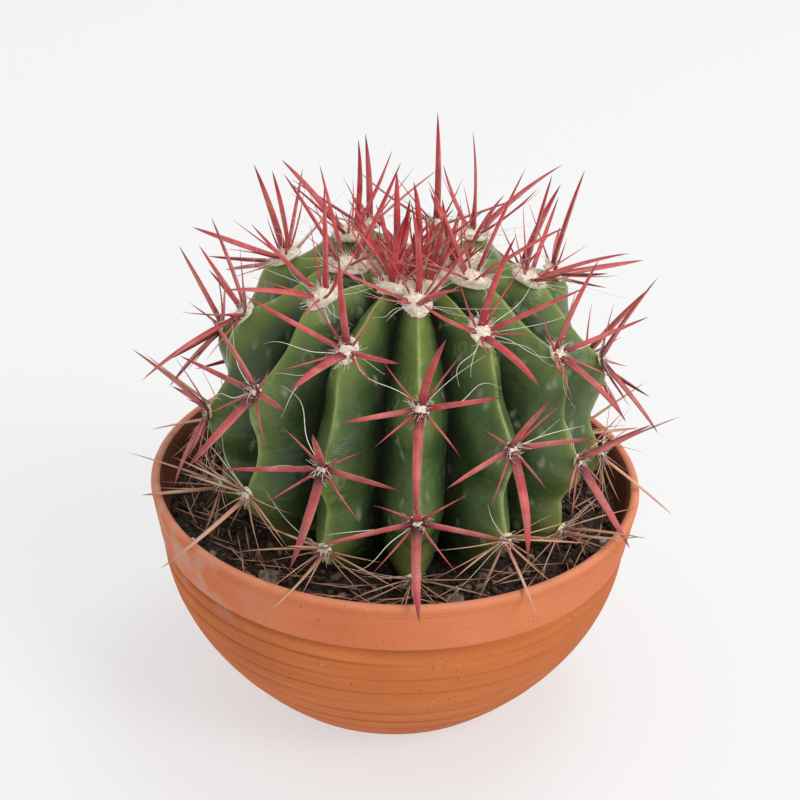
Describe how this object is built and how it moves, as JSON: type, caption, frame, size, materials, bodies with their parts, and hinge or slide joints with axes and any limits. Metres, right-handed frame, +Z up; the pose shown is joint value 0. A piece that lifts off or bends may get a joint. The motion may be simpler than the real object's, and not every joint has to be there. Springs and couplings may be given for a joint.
{
  "type": "potted round cactus",
  "caption": "Round ribbed barrel cactus with long red spines, growing in a shallow thrown terracotta bowl.",
  "frame": {"origin": "centre of the bowl's foot, on the table", "axes": "+Z up along the bowl's axis, -Y towards the front, +X to the viewer's right"},
  "size_m": [0.2708, 0.2764, 0.3071],
  "materials": {
    "terracotta": "unglazed fired clay, matt, throwing ridges",
    "soil": "loose dark peat and grit",
    "stem_skin": "waxy green skin, satin",
    "spines": "horny red spines on cream felt, satin",
    "dry_spines": "dry straw-coloured spines",
    "felt": "matte",
    "bark": "rough broken bark",
    "perlite": "porous white grain"
  },
  "bodies": {
    "root": {"areole_rib01_1": "spines", "areole_rib01_2": "spines", "areole_rib01_3": "spines", "areole_rib01_4": "dry_spines", "areole_rib02_1": "spines", "areole_rib02_2": "spines", "areole_rib02_3": "dry_spines", "areole_rib03_1": "spines", "areole_rib03_2": "spines", "areole_rib03_3": "spines", "areole_rib03_4": "dry_spines", "areole_rib04_1": "spines", "areole_rib04_2": "spines", "areole_rib04_3": "dry_spines", "areole_rib05_1": "spines", "areole_rib05_2": "spines", "areole_rib05_3": "dry_spines", "areole_rib06_1": "spines", "areole_rib06_2": "spines", "areole_rib06_3": "spines", "areole_rib06_4": "dry_spines", "areole_rib07_1": "spines", "areole_rib07_2": "spines", "areole_rib07_3": "dry_spines", "areole_rib08_1": "spines", "areole_rib08_2": "spines", "areole_rib08_3": "dry_spines", "areole_rib09_1": "spines", "areole_rib09_2": "spines", "areole_rib09_3": "spines", "areole_rib09_4": "dry_spines", "areole_rib10_1": "spines", "areole_rib10_2": "spines", "areole_rib10_3": "dry_spines", "areole_rib11_1": "spines", "areole_rib11_2": "spines", "areole_rib11_3": "spines", "areole_rib11_4": "dry_spines", "areole_rib12_1": "spines", "areole_rib12_2": "spines", "areole_rib12_3": "dry_spines", "areole_rib13_1": "spines", "areole_rib13_2": "spines", "areole_rib13_3": "dry_spines", "bark_chip_1": "bark", "bark_chip_2": "bark", "bark_chip_3": "bark", "cactus_stem": "stem_skin", "crown": "felt", "perlite_grain_1": "perlite", "perlite_grain_2": "perlite", "perlite_grain_3": "perlite", "perlite_grain_4": "perlite", "potting_soil": "soil", "terracotta_bowl": "terracotta"}
  },
  "joints": []
}
